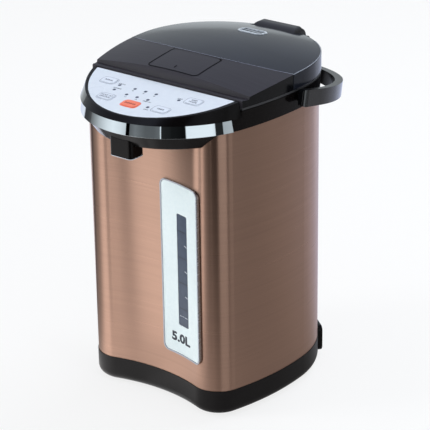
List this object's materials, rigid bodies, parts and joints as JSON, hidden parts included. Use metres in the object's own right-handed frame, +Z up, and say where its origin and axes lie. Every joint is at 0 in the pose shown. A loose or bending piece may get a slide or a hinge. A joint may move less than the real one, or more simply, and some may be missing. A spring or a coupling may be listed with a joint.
{
  "type": "electric thermo pot",
  "caption": "Electric hot water pot with a concave copper steel body, overhanging control head, side water gauge, hinged lid with latch and a folding bail handle.",
  "frame": {"origin": "on the standing plane, under the middle of the whole with its bail folded back, on the plane of symmetry of the outside", "axes": "+Z up, -Y towards the control panel and spout, +X towards the user's right as seen from the front"},
  "size_m": [0.235, 0.2951, 0.3555],
  "materials": {
    "copper_steel": "copper-coloured, brushed sideways, satin lacquer",
    "base_plastic": "dark charcoal brown, satin",
    "foot_rubber": "matt",
    "steel_parts": "plain",
    "gauge_silver": "silvery, satin",
    "gauge_pale": "pale, satin",
    "gauge_dark_clear": "smoked clear plastic",
    "clear_tube": "clear",
    "inner_plastic": "plain",
    "silicone": "translucent white",
    "head_black": "glossy near black",
    "chrome": "polished",
    "panel_pale": "pale lavender white, satin",
    "key_grey": "pale grey, satin",
    "key_orange": "orange, satin",
    "board_green": "circuit board",
    "lamp": "clear red lamps",
    "lid_brushed": "dark brown grey, brushed sideways",
    "lid_gloss": "dark blue grey, high gloss",
    "vent_silver": "dark with a silvery rim",
    "inner_lid_steel": "satin"
  },
  "bodies": {
    "root": {"base_shell": "base_plastic", "bottom_cover": "base_plastic", "rubber_feet": "foot_rubber", "base_screws": "steel_parts", "outer_shell": "copper_steel", "gauge_frame": "gauge_silver", "gauge_plate": "gauge_pale", "gauge_lens": "gauge_dark_clear", "gauge_tube": "clear_tube", "gauge_backing": "inner_plastic", "inner_vessel": "steel_parts", "vessel_seal": "silicone", "band_heater": "steel_parts", "heater_screws": "steel_parts", "base_heater": "steel_parts", "thermostat": "steel_parts", "pump_housing": "inner_plastic", "pump_motor": "inner_plastic", "inlet_hose": "silicone", "outlet_hose": "silicone", "spout_hose": "silicone", "spout_nozzle": "inner_plastic", "under_cover": "head_black", "spout_cover": "head_black", "head_collar": "head_black", "chrome_band": "chrome", "head_bezel": "head_black", "control_panel": "panel_pale", "control_board": "board_green", "tact_switches": "inner_plastic", "indicator_lamps": "lamp", "board_screws": "steel_parts", "hinge_block": "head_black", "hinge_pin": "steel_parts", "power_board": "board_green", "power_board_parts": "inner_plastic", "power_inlet": "head_black", "inlet_pins": "steel_parts", "right_handle_pivot": "head_black", "left_handle_pivot": "head_black"},
    "lid": {"lid_front_cover": "lid_brushed", "lid_dome": "lid_gloss", "steam_vent_grille": "vent_silver", "steam_tube": "inner_plastic", "lid_plate": "inner_plastic", "inner_lid": "inner_lid_steel", "lid_gasket": "silicone"},
    "lever": {"latch_lever": "lid_brushed", "lever_pin": "steel_parts"},
    "bolt": {"latch_bolt": "inner_plastic"},
    "bail": {"bail_handle": "head_black"},
    "impeller": {"pump_impeller": "inner_plastic"},
    "reboil_key": {"reboil_key": "key_grey"},
    "unlock_key": {"unlock_key": "key_grey"},
    "start_key": {"start_key": "key_orange"},
    "timer_key": {"timer_key": "key_grey"},
    "keep_warm_key": {"keep_warm_key": "key_grey"}
  },
  "joints": [
    {"name": "lid_hinge", "type": "hinge", "parent": "root", "child": "lid", "pos_m": [0, 0.11724, 0.338], "axis": [-1, 0, 0], "range_deg": [0, 85]},
    {"name": "lever_hinge", "type": "hinge", "parent": "lid", "child": "lever", "pos_m": [0, -0.02076, 0.34989], "axis": [-1, 0, 0], "range_deg": [0, 20], "stiffness_Nm_per_rad": 0.05, "springref_deg": -11.46},
    {"name": "bolt_slide", "type": "slide", "parent": "lid", "child": "bolt", "axis": [0, 1, 0], "range_m": [0, 0.003]},
    {"name": "bail_pivot", "type": "hinge", "parent": "root", "child": "bail", "pos_m": [0, 0.01074, 0.3221], "axis": [1, 0, 0], "range_deg": [0, 101]},
    {"name": "impeller_spin", "type": "hinge", "parent": "root", "child": "impeller", "pos_m": [0.0277, -0.03076, 0.038], "axis": [0, 0, 1], "continuous": true},
    {"name": "reboil_key_press", "type": "slide", "parent": "root", "child": "reboil_key", "axis": [0, 0.1582, -0.9874], "range_m": [0, 0.0008], "stiffness_N_per_m": 300, "springref_m": -0.001},
    {"name": "unlock_key_press", "type": "slide", "parent": "root", "child": "unlock_key", "axis": [0, 0.1582, -0.9874], "range_m": [0, 0.0008], "stiffness_N_per_m": 300, "springref_m": -0.001},
    {"name": "start_key_press", "type": "slide", "parent": "root", "child": "start_key", "axis": [0, 0.1582, -0.9874], "range_m": [0, 0.0008], "stiffness_N_per_m": 300, "springref_m": -0.001},
    {"name": "timer_key_press", "type": "slide", "parent": "root", "child": "timer_key", "axis": [0, 0.1582, -0.9874], "range_m": [0, 0.0008], "stiffness_N_per_m": 300, "springref_m": -0.001},
    {"name": "keep_warm_key_press", "type": "slide", "parent": "root", "child": "keep_warm_key", "axis": [0, 0.1582, -0.9874], "range_m": [0, 0.0008], "stiffness_N_per_m": 300, "springref_m": -0.001}
  ],
  "couplings": [
    {"joint": "bolt_slide", "follows": "lever_hinge", "m_per_rad": 0.0085944}
  ]
}
